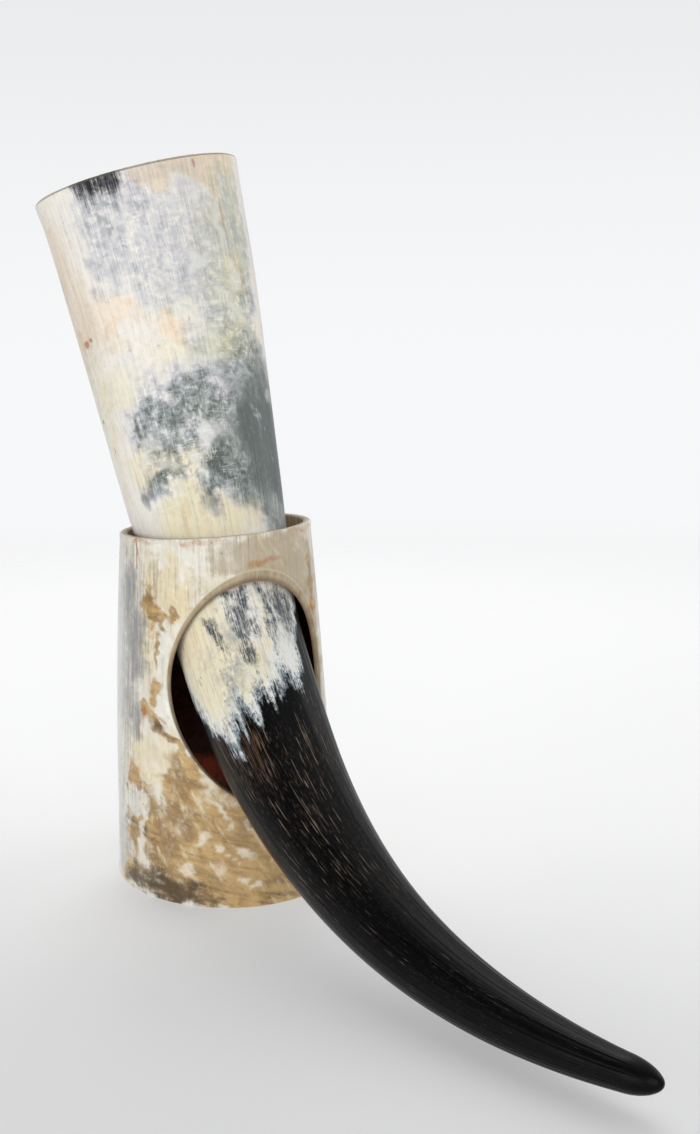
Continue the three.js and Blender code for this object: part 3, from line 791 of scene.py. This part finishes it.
class Nodes:
    """Short calls that build a node tree. A value that is fed in is a number, a colour or a socket."""

    def __init__(self, owner):
        owner.use_nodes = True
        self.nodes = owner.node_tree.nodes
        self.links = owner.node_tree.links

    def add(self, kind, inputs=(), **settings):
        """A new node, with its first inputs fed and its settings made."""
        node = self.nodes.new(kind)
        for name, value in settings.items():
            setattr(node, name, value)
        for socket, value in zip(node.inputs, inputs):
            self.feed(socket, value)
        return node

    def feed(self, socket, value):
        """Gives a socket its value. A colour of three values is 0-255, and one of four is linear."""
        if isinstance(value, bpy.types.NodeSocket):
            self.links.new(value, socket)
        elif socket.type == "RGBA" and len(value) == 3:
            socket.default_value = colour(*value)
        else:
            socket.default_value = value

    def maths(self, operation, a, b=0.0):
        return self.add("ShaderNodeMath", (a, b), operation=operation).outputs[0]

    def plus(self, a, b):
        return self.maths("ADD", a, b)

    def minus(self, a, b):
        return self.maths("SUBTRACT", a, b)

    def times(self, a, b):
        return self.maths("MULTIPLY", a, b)

    def between(self, value, low, high, to_low=0.0, to_high=1.0):
        spans = (value, low, high, to_low, to_high)
        return self.add("ShaderNodeMapRange", spans, interpolation_type="SMOOTHSTEP").outputs[0]

    def toward(self, places, axis):
        """How far the places lie along an axis."""
        return self.add("ShaderNodeVectorMath", (places, axis), operation="DOT_PRODUCT").outputs["Value"]


class Look(Nodes):
    """One material of natural horn, with the steps that its colours are laid on in."""

    def __init__(self, name):
        self.material = bpy.data.materials.new(name)
        super().__init__(self.material)
        self.shader = self.nodes["Principled BSDF"]
        self.grain = self.number("grain", output="Vector")

    def finish(self, base, roughness, shine, relief):
        """Feeds the colour, the gloss and the fine relief to the shader, and gives the material."""
        self.feed(self.shader.inputs["Base Color"], base)
        self.feed(self.shader.inputs["Roughness"], roughness)
        self.shader.inputs["IOR"].default_value = 1.5
        self.shader.inputs["Specular IOR Level"].default_value = shine
        bump = self.add("ShaderNodeBump")
        bump.inputs["Strength"].default_value = RELIEF_STRENGTH
        bump.inputs["Distance"].default_value = RELIEF_HEIGHT
        self.feed(bump.inputs["Height"], relief)
        self.feed(self.shader.inputs["Normal"], bump.outputs[0])
        return self.material

    def number(self, name, output="Fac"):
        return self.add("ShaderNodeAttribute", attribute_name=name).outputs[output]

    def noise(self, across, along, detail=3.0, rough=0.55, seed=0.0, warp=0.0, rise=0.0, sway=0.0):
        """Noise with the given number of cells per millimetre across and along the grain."""
        place = self.sheared(rise, sway) if rise or sway else self.grain
        cells = (across / MM, across / MM, along / MM)
        start = (seed, 1.7 * seed, 0.6 * seed)
        place = self.add("ShaderNodeVectorMath", (place, cells, start), operation="MULTIPLY_ADD").outputs[0]
        node = self.add("ShaderNodeTexNoise")
        self.feed(node.inputs["Vector"], place)
        node.inputs["Scale"].default_value = 1.0
        node.inputs["Detail"].default_value = detail
        node.inputs["Roughness"].default_value = rough
        node.inputs["Distortion"].default_value = warp
        return node.outputs["Fac"]

    def sheared(self, rise, sway):
        """The grain's places, moved up by rise for each step to +X and to +X by sway for each step up."""
        x, y, z = self.add("ShaderNodeSeparateXYZ", (self.grain,)).outputs
        across = self.plus(x, self.times(z, sway))
        upward = self.plus(z, self.times(x, rise))
        return self.add("ShaderNodeCombineXYZ", (across, y, upward)).outputs[0]

    def swing(self, **strengths):
        """The sum of the look's named noises about their middle, each given with its strength."""
        total = 0.0
        for name, strength in strengths.items():
            total = self.plus(total, self.times(self.minus(getattr(self, name), 0.5), strength))
        return total

    def ragged(self, mark, low, high, **strengths):
        """A mark, given by name or as a socket, whose edge is broken up by the named noises."""
        if isinstance(mark, str):
            mark = self.number(mark)
        return self.between(self.plus(mark, self.swing(**strengths)), low, high)

    def ridges(self, noise, width):
        """Thin lines along a noise's middle contour."""
        return self.between(self.maths("ABSOLUTE", self.minus(noise, 0.5)), width, 0.0)

    def mix(self, factor, a, b, blend="MIX"):
        node = self.add("ShaderNodeMix", data_type="RGBA", blend_type=blend)
        for socket, value in ((0, factor), (6, a), (7, b)):
            self.feed(node.inputs[socket], value)
        return node.outputs[2]

    def over(self, base, factor, strength, tone):
        """base with another tone laid over it."""
        return self.mix(self.times(factor, strength), base, tone)

    def stain(self, base, mark, low, high, strength, tone, **strengths):
        """base with a tone laid over it where a ragged mark lies."""
        return self.over(base, self.ragged(mark, low, high, **strengths), strength, tone)

    def veil(self, base, noise, low, high, strength, tone):
        """base with a tone laid over it where a noise rises from low to high."""
        return self.mix(self.between(noise, low, high, 0.0, strength), base, tone)

    def tint(self, factor, base, red, green, blue):
        return self.mix(factor, base, (red, green, blue, 1.0), blend="MULTIPLY")

    def ramp(self, value, stops):
        node = self.add("ShaderNodeValToRGB", (value,))
        elements = node.color_ramp.elements
        while len(elements) < len(stops):
            elements.new(0.5)
        for element, (position, *tone) in zip(elements, stops):
            element.position = position
            element.color = colour(*tone)
        return node.outputs[0]


def colour(red, green, blue):
    """A colour given as 0-255 screen values, as linear light."""
    linear = []
    for channel in (red, green, blue):
        share = channel / 255.0
        linear.append(share / 12.92 if share <= 0.04045 else ((share + 0.055) / 1.055) ** 2.4)
    return (*linear, 1.0)


class HornLook(Look):
    """The drinking horn: pale and mottled at its mouth, black at its tip, honey-brown inside."""

    def __init__(self):
        super().__init__("horn_sheath")
        self.fibres = self.noise(1.1, 0.035, detail=4, rough=0.65, seed=3.1)
        self.fine_fibres = self.noise(3.0, 0.07, detail=3, rough=0.7, seed=8.2)
        self.clouds = self.noise(0.14, 0.10, detail=4, rough=0.6, seed=1.4)
        self.mottle = self.noise(0.42, 0.36, detail=5, rough=0.62, seed=5.7, warp=0.5)
        self.cross = self.noise(0.22, 1.1, detail=4, rough=0.65, seed=11.3)
        self.speck = self.noise(2.2, 1.1, detail=3, rough=0.7, seed=14.9)
        self.veins = self.noise(1.3, 0.12, detail=5, rough=0.72, seed=17.0, warp=0.3)
        self.blotches = self.noise(0.75, 0.45, detail=5, rough=0.72, seed=19.0, warp=0.7)
        self.tongues = self.noise(0.5, 0.09, detail=3, rough=0.6, seed=29.0)
        self.dark = self.number("dark")
        self.mottled = self.number("mottled")
        self.nearness = self.number("black")
        self.black = self.ragged(
            self.nearness, 0.45, 0.59, tongues=0.3, mottle=0.5, fibres=0.35, fine_fibres=0.25, speck=0.15)

    def build(self):
        lights, dots = self.flecks()
        base = self.smoky_horn()
        for paint in (self.add_tints, self.add_streaks, self.add_scratches, self.add_stains, self.add_haze):
            base = paint(base)
        base = self.mix(self.black, base, self.black_horn(lights, dots))
        base = self.add_inside(base)
        polish = self.between(self.fibres, 0.3, 0.75, 0.27, 0.38)
        polish = self.plus(polish, self.times(self.between(self.speck, 0.45, 0.7), 0.06))
        pits = self.times(self.plus(lights, dots), self.black)
        relief = self.plus(self.times(self.fibres, 0.5), self.times(self.fine_fibres, 0.35))
        relief = self.minus(relief, self.times(pits, 0.3))
        return self.finish(base, polish, 0.08, relief)

    def smoky_horn(self):
        """Pale horn, from cream through smoky grey to slate."""
        dark = self.dark
        unsure = self.times(self.times(dark, self.minus(1.0, dark)), 4.0)
        unsure = self.plus(0.12, self.times(unsure, self.plus(0.35, self.times(self.mottled, 0.9))))
        swirl = self.swing(clouds=1.1, mottle=1.7, cross=0.45)
        shade = self.plus(dark, self.times(swirl, unsure))
        combed = self.swing(fibres=0.65, fine_fibres=1.0)
        streaky = self.plus(0.38, self.times(self.number("streaks"), 0.75))
        shade = self.plus(shade, self.times(combed, streaky))
        shade = self.plus(shade, 0.05)
        return self.ramp(shade, [
            (0.0, 238, 233, 222), (0.18, 218, 215, 211), (0.36, 197, 196, 201),
            (0.60, 163, 167, 167), (0.84, 128, 135, 132), (1.0, 98, 106, 104),
        ])

    def add_tints(self, base):
        for name, low, high, tone, strengths in (
            ("yellow", 0.05, 0.75, (0.965, 0.925, 0.76), {"mottle": 0.7, "fibres": 0.4}),
            ("tan", 0.05, 0.85, (0.93, 0.83, 0.72), {"fibres": 0.7, "mottle": 0.4}),
            ("amber", 0.1, 0.9, (1.0, 0.84, 0.66), {"mottle": 0.6, "fibres": 0.6}),
            ("moss", 0.05, 0.7, (0.83, 0.86, 0.78), {"mottle": 1.2, "fibres": 0.6, "cross": 0.5}),
        ):
            base = self.tint(self.ragged(name, low, high, **strengths), base, *tone)
        return base

    def add_streaks(self, base):
        """Blue-grey streaks and milk-white patches."""
        blue = self.ragged("blue", 0.05, 1.15, fibres=0.6, veins=1.4, blotches=2.2, fine_fibres=0.8)
        blue = self.times(blue, self.between(self.number("blue"), 0.0, 0.2))
        base = self.over(base, blue, 0.95, (46, 60, 73))
        return self.stain(
            base, "white", 0.1, 0.98, 0.8, (227, 227, 222), mottle=1.0, fibres=0.7, fine_fibres=1.0)

    def add_scratches(self, base):
        """Fine scratches across the horn and along it, fewer where it is evenly dark."""
        scratched = self.between(self.minus(self.mottled, self.times(self.dark, 0.35)), 0.0, 0.5)
        strokes = self.ridges(self.noise(0.06, 0.34, detail=1, rough=0.4, seed=21.0, warp=0.2), 0.026)
        strokes = self.times(strokes, self.between(self.noise(0.20, 0.20, detail=2, seed=23.0), 0.46, 0.58))
        strokes = self.times(strokes, self.between(self.noise(2.0, 0.5, detail=2, seed=27.0), 0.35, 0.6))
        base = self.over(base, self.times(strokes, scratched), 0.6, (240, 240, 238))
        wisps = self.ridges(self.noise(0.36, 0.045, detail=1, rough=0.4, seed=25.0, warp=0.2), 0.024)
        wisps = self.times(wisps, self.between(self.noise(0.18, 0.14, detail=2, seed=26.0), 0.46, 0.60))
        return self.over(base, self.times(wisps, scratched), 0.45, (238, 238, 236))

    def add_stains(self, base):
        base = self.stain(base, "rust", 0.25, 0.6, 0.75, (168, 104, 60), speck=0.7, fine_fibres=0.5)
        # painted shadow: a near-black patch at the mouth's rim, beside the real rust stains
        return self.stain(
            base, "rim_shadow", 0.15, 1.15, 1.0, (34, 35, 40), fibres=1.2, mottle=0.9, fine_fibres=0.8)

    def add_haze(self, base):
        """The pale halo, the haze and the smoke where the pale horn nears the black."""
        nearness = self.nearness
        base = self.stain(
            base, nearness, 0.10, 0.48, 0.66, (206, 214, 216), tongues=0.8, mottle=0.9, fibres=0.4)
        haze = self.ragged(nearness, 0.12, 0.62, clouds=1.6, blotches=1.5, fine_fibres=0.5)
        haze = self.times(haze, self.between(nearness, 0.02, 0.25))
        base = self.over(base, haze, 0.85, (104, 119, 128))
        return self.stain(
            base, nearness, 0.34, 0.74, 0.9, (46, 54, 64), blotches=2.0, fibres=0.7, fine_fibres=0.6)

    def flecks(self):
        """The long and the short pale flecks that lie along the grain in the black."""
        long_flecks = self.noise(2.2, 0.085, detail=2, rough=0.55, seed=31.0)
        short_flecks = self.noise(2.6, 0.42, detail=2, rough=0.6, seed=35.0)
        bar = self.minus(0.73, self.times(self.number("flecks"), 0.12))
        lights = self.between(self.minus(long_flecks, bar), 0.0, 0.06)
        dots = self.between(self.minus(short_flecks, bar), -0.045, 0.04)
        return lights, dots

    def black_horn(self, lights, dots):
        tone = self.mix(self.between(self.fibres, 0.45, 0.75), (4, 5, 7), (16, 16, 17))
        dull = self.between(self.noise(1.5, 0.16, detail=4, rough=0.7, seed=39.0), 0.52, 0.74)
        dull = self.times(dull, self.between(self.number("flecks"), 0.1, 0.7, 0.4, 0.8))
        tone = self.mix(dull, tone, (38, 34, 31))
        tone = self.stain(tone, "brown", 0.75, 1.15, 0.6, (104, 80, 64), veins=2.6, fine_fibres=2.0)
        tone = self.over(tone, dots, 0.55, (86, 72, 58))
        return self.over(tone, lights, 0.75, (150, 132, 114))

    def add_inside(self, base):
        """A painted shade line along the lip, and the honey-brown hollow."""
        inward = self.number("inside")
        # painted shade: a dark olive line along the lip's outer corner and top
        edge = self.between(self.maths("ABSOLUTE", self.minus(inward, 0.3)), 0.22, 0.05)
        base = self.over(base, edge, 0.75, (104, 98, 84))
        tone = self.mix(self.between(self.clouds, 0.35, 0.65), (176, 154, 116), (208, 191, 156))
        tone = self.veil(tone, self.fibres, 0.45, 0.75, 0.3, (146, 120, 84))
        return self.mix(self.between(inward, 0.55, 0.9), base, tone)


class StandLook(Look):
    """The stand: ivory horn with grey, taupe and ochre, a painted sheen on its sides, painted highlight and
    shade at its cut edges, and painted dark red shade and glow inside.
    """

    def __init__(self):
        super().__init__("horn_tube")
        self.fibres = self.noise(1.0, 0.05, detail=4, rough=0.65, seed=43.0)
        self.fine_fibres = self.noise(2.8, 0.10, detail=3, rough=0.7, seed=47.0)
        self.clouds = self.noise(0.10, 0.06, detail=4, rough=0.6, seed=51.0)
        self.mottle = self.noise(0.40, 0.36, detail=5, rough=0.62, seed=53.0, warp=0.6)
        self.fine_mottle = self.noise(1.2, 1.0, detail=4, rough=0.7, seed=57.0)
        self.slant = self.noise(0.40, 0.10, detail=4, rough=0.6, seed=59.0, sway=0.5)
        self.rings = self.noise(0.08, 0.50, detail=4, rough=0.62, seed=63.0, rise=0.35)
        self.bands = self.noise(0.13, 0.08, detail=4, rough=0.58, seed=67.0, warp=0.3, sway=0.5)

    def build(self):
        base = self.ivory_horn()
        for paint in (self.add_stains, self.add_mottles, self.add_cut, self.add_inside):
            base = paint(base)
        polish = self.between(self.mottle, 0.3, 0.75, 0.28, 0.42)
        relief = self.plus(self.times(self.fibres, 0.5), self.times(self.fine_mottle, 0.3))
        return self.finish(base, polish, 0.2, relief)

    def ivory_horn(self):
        base = self.mix(self.between(self.clouds, 0.35, 0.65), (219, 214, 198), (226, 224, 216))
        base = self.veil(base, self.fibres, 0.45, 0.75, 0.55, (198, 193, 184))
        base = self.veil(base, self.fine_fibres, 0.5, 0.75, 0.35, (190, 184, 174))
        return self.veil(base, self.slant, 0.48, 0.7, 0.7, (241, 239, 233))

    def add_stains(self, base):
        """Yellow and warm tints, taupe and grey."""
        yellow = self.ragged("yellow", 0.05, 0.7, mottle=1.0, fibres=0.6)
        base = self.tint(yellow, base, 0.97, 0.87, 0.66)
        warm = self.between(self.noise(0.30, 0.07, detail=3, seed=61.0), 0.48, 0.70, 0.0, 0.6)
        base = self.tint(warm, base, 0.97, 0.90, 0.76)
        taupe = self.ragged("taupe", 0.05, 0.8, fibres=0.9, mottle=0.5, fine_fibres=0.5)
        base = self.tint(taupe, base, 0.65, 0.58, 0.48)
        return self.stain(
            base, "grey", 0.05, 0.95, 0.9, (140, 139, 140), fibres=1.5, mottle=0.8, fine_fibres=1.0)

    def add_mottles(self, base):
        """Ochre, dark brown, milk-white and orange mottles, a painted pale sheen along the sides and small
        brown specks.
        """
        tone = self.mix(self.between(self.bands, 0.38, 0.60), (144, 112, 63), (190, 156, 100))
        tone = self.veil(tone, self.mottle, 0.50, 0.72, 0.55, (140, 104, 58))
        tone = self.veil(tone, self.rings, 0.46, 0.68, 0.65, (118, 90, 52))
        tone = self.veil(tone, self.slant, 0.52, 0.74, 0.7, (222, 202, 160))
        base = self.stain(
            base, "ochre", 0.15, 0.75, 0.92, tone, mottle=1.0, bands=0.8, fine_mottle=0.35, slant=1.1)
        base = self.stain(
            base, "umber", 0.2, 0.95, 0.9, (80, 66, 46), mottle=1.0, rings=0.9, fine_mottle=0.5)
        base = self.stain(
            base, "spots", 0.06, 1.1, 0.82, (226, 218, 199), fine_mottle=0.5, mottle=0.9, slant=1.2)
        base = self.stain(base, "orange", 0.1, 0.8, 0.85, (172, 108, 48), fine_mottle=0.8, mottle=0.5)
        # painted sheen: the stand's sides are laid pale, as where light grazes them
        pale = self.times(self.number("side_sheen"), self.between(self.fibres, 0.3, 0.6, 0.5, 0.9))
        base = self.mix(pale, base, (226, 227, 226))
        specks = self.between(self.noise(0.7, 0.6, detail=2, rough=0.5, seed=71.0), 0.73, 0.78)
        return self.over(base, specks, 0.7, (118, 92, 60))

    def add_cut(self, base):
        """The sawn edges, with a painted pale highlight at the outer face and painted brown shade at the
        inner one.
        """
        depth = self.number("depth")
        tone = self.mix(self.between(self.clouds, 0.36, 0.64), (156, 138, 112), (186, 170, 142))
        tone = self.veil(tone, self.rings, 0.5, 0.75, 0.45, (134, 110, 80))
        tone = self.veil(tone, self.fibres, 0.42, 0.66, 0.5, (206, 192, 164))
        # painted highlight: a pale line along each sawn end's outer edge
        tone = self.veil(tone, depth, 0.34, 0.16, 0.75, (228, 218, 196))
        # painted shade: browner towards each sawn end's inner edge
        tone = self.veil(tone, depth, 0.5, 0.84, 0.7, (112, 88, 62))
        return self.mix(self.between(depth, 0.10, 0.34), base, tone)

    def add_inside(self, base):
        """The inner face, tan near the rim, and lower down painted dark red shade with the painted red
        light that comes through the wall.
        """
        # painted shade: the inner face is dark red low down, with the painted red glow of light through the
        # wall laid on it
        shade_and_glow_tone = self.mix(self.between(self.mottle, 0.4, 0.6), (44, 17, 9), (66, 28, 14))
        shade_and_glow_tone = self.stain(shade_and_glow_tone, "glow", 0.35, 1.25, 0.75, (196, 76, 24), mottle=1.4, fibres=0.8)
        shade_and_glow_tone = self.tint(1.0, shade_and_glow_tone, 0.8, 0.8, 0.8)
        rim_tone = self.mix(self.between(self.fibres, 0.4, 0.6), (176, 152, 116), (208, 190, 158))
        near_rim = self.between(self.number("height"), 88.0, 112.0)
        tone = self.mix(near_rim, shade_and_glow_tone, rim_tone)
        return self.mix(self.between(self.number("depth"), 0.86, 0.98), base, tone)


# ---- The two pieces ----

horn, *horn_places = build_horn()
mark_horn(horn.data, *horn_places)
horn.data.materials.append(HornLook().build())
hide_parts("drinking_horn")
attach(horn, "horn")

stand, *stand_places = build_stand()
mark_stand(stand.data, *stand_places)
weld(stand)
stand.data.materials.append(StandLook().build())
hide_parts("horn_stand")
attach(stand, "stand")

# ---- Floor, light and camera ----

FLOOR_HALF = 4.0
FLOOR_MIDDLE = Vector((0.0, 0.05, 0.0))
FLOOR_SOLID_REACH = 0.42
FLOOR_FADE_REACH = 1.2
FLOOR_SHADE = (0.45, 0.45, 0.453, 1.0)

# The floor is a lit white sheet that glows more towards its back.
GLOW_BACK = Vector((0.56, 0.83, 0.0))
GLOW_START, GLOW_END = -0.18, 0.20
GLOW_NEAR, GLOW_FAR = 0.265, 0.455

# The room's light, and the direction from the object in which it stays dim.
ROOM_TONE = (0.98, 0.99, 1.0, 1.0)
ROOM_LIGHT = 0.62
DIM_SIDE = Vector((-0.68, 0.05, 0.73)).normalized()
DIM_START, DIM_END = 0.1, 0.9
DIM_LIGHT = 0.08

# The wall that the camera sees, paler at its foot than higher up.
WALL_TONE = (0.985, 0.99, 1.0, 1.0)
WALL_START, WALL_END = 0.0, 0.35
WALL_LOW, WALL_HIGH = 0.945, 0.815

# The lamps, each as (name, place from the object's middle, size, power).
SOFTBOXES = (
    ("overhead", (0.05, 0.10, 1.15), (1.1, 1.1), 2.6),
    ("back", (0.20, 0.85, 0.80), (0.9, 0.7), 7.5),
    ("front", (-0.50, -1.25, 0.40), (0.9, 0.7), 8.0),
    ("left", (-1.20, -0.35, 0.08), (0.8, 0.5), 6.0),
    ("right", (1.20, 0.0, 0.45), (0.8, 0.7), 3.0),
)


def build_floor():
    corners = np.array([[-1, -1, 0], [1, -1, 0], [1, 1, 0], [-1, 1, 0]]) * FLOOR_HALF
    floor = piece_from("floor", corners, [[0, 1, 2, 3]])
    material = bpy.data.materials.new("pale_floor")
    sheet = Nodes(material)
    shader = sheet.nodes["Principled BSDF"]
    place = sheet.add("ShaderNodeTexCoord").outputs["Object"]
    glow = sheet.between(sheet.toward(place, GLOW_BACK), GLOW_START, GLOW_END, GLOW_NEAR, GLOW_FAR)
    for name, value in (
        ("Base Color", FLOOR_SHADE), ("Roughness", 0.7), ("Specular IOR Level", 0.1),
        ("Emission Color", (1.0, 1.0, 1.0, 1.0)), ("Emission Strength", glow),
    ):
        sheet.feed(shader.inputs[name], value)
    away = sheet.add("ShaderNodeVectorMath", (place, FLOOR_MIDDLE), operation="DISTANCE").outputs["Value"]
    fade = sheet.between(away, FLOOR_SOLID_REACH, FLOOR_FADE_REACH)
    clear = sheet.add("ShaderNodeBsdfTransparent").outputs[0]
    blend = sheet.add("ShaderNodeMixShader", (fade, shader.outputs[0], clear)).outputs[0]
    sheet.feed(sheet.nodes["Material Output"].inputs["Surface"], blend)
    floor.data.materials.append(material)


def build_world():
    """A pale room that is lit all round, less so high on its left, and is seen darker higher up."""
    world = bpy.data.worlds.new("studio")
    bpy.context.scene.world = world
    room = Nodes(world)
    direction = room.add("ShaderNodeTexCoord").outputs["Generated"]
    light = room.between(room.toward(direction, DIM_SIDE), DIM_START, DIM_END, ROOM_LIGHT, DIM_LIGHT)
    lit = room.add("ShaderNodeBackground", (ROOM_TONE, light)).outputs[0]
    upright = room.toward(direction, (0.0, 0.0, 1.0))
    wall = room.between(upright, WALL_START, WALL_END, WALL_LOW, WALL_HIGH)
    seen = room.add("ShaderNodeBackground", (WALL_TONE, wall)).outputs[0]
    from_camera = room.add("ShaderNodeLightPath").outputs["Is Camera Ray"]
    choose = room.add("ShaderNodeMixShader", (from_camera, lit, seen)).outputs[0]
    room.feed(room.nodes["World Output"].inputs["Surface"], choose)


def build_softbox(name, way, size, power):
    """A lamp that stands off from the object's middle and shines on it."""
    middle = (cad_box[0] + cad_box[1]) / 2
    light = bpy.data.lights.new(name, "AREA")
    light.shape = "RECTANGLE"
    light.size, light.size_y = size
    light.energy = power
    lamp = bpy.data.objects.new(name, light)
    lamp.location = middle + Vector(way)
    lamp.rotation_mode = "QUATERNION"
    lamp.rotation_quaternion = (middle - lamp.location).to_track_quat("-Z", "Y")
    bpy.context.scene.collection.objects.link(lamp)


build_floor()
build_world()
for softbox in SOFTBOXES:
    build_softbox(*softbox)

CAMERA_FROM_FOOT = Vector((-155.93, -438.36, 166.22)) * MM
CAMERA_HEADING = 0.43496
CAMERA_PITCH = 0.13693
CAMERA_ROLL = 0.01033
CAMERA_LENS = 44.46


def build_camera():
    heading = Vector((math.sin(CAMERA_HEADING), math.cos(CAMERA_HEADING), 0.0))
    upright = Vector((0.0, 0.0, 1.0))
    ahead = heading * math.cos(CAMERA_PITCH) - upright * math.sin(CAMERA_PITCH)
    up = heading * math.sin(CAMERA_PITCH) + upright * math.cos(CAMERA_PITCH)
    right = ahead.cross(up)
    rolled_right = right * math.cos(CAMERA_ROLL) - up * math.sin(CAMERA_ROLL)
    rolled_up = up * math.cos(CAMERA_ROLL) + right * math.sin(CAMERA_ROLL)
    turned = Matrix((rolled_right, rolled_up, -ahead)).transposed()
    data = bpy.data.cameras.new("camera")
    data.sensor_width = 36.0
    data.lens = CAMERA_LENS
    data.clip_start = 0.01
    camera = bpy.data.objects.new("camera", data)
    camera.location = Vector(FOOT) + CAMERA_FROM_FOOT
    camera.rotation_mode = "QUATERNION"
    camera.rotation_quaternion = turned.to_quaternion()
    bpy.context.scene.collection.objects.link(camera)
    bpy.context.scene.camera = camera


build_camera()
bpy.context.scene.view_settings.view_transform = "Standard"
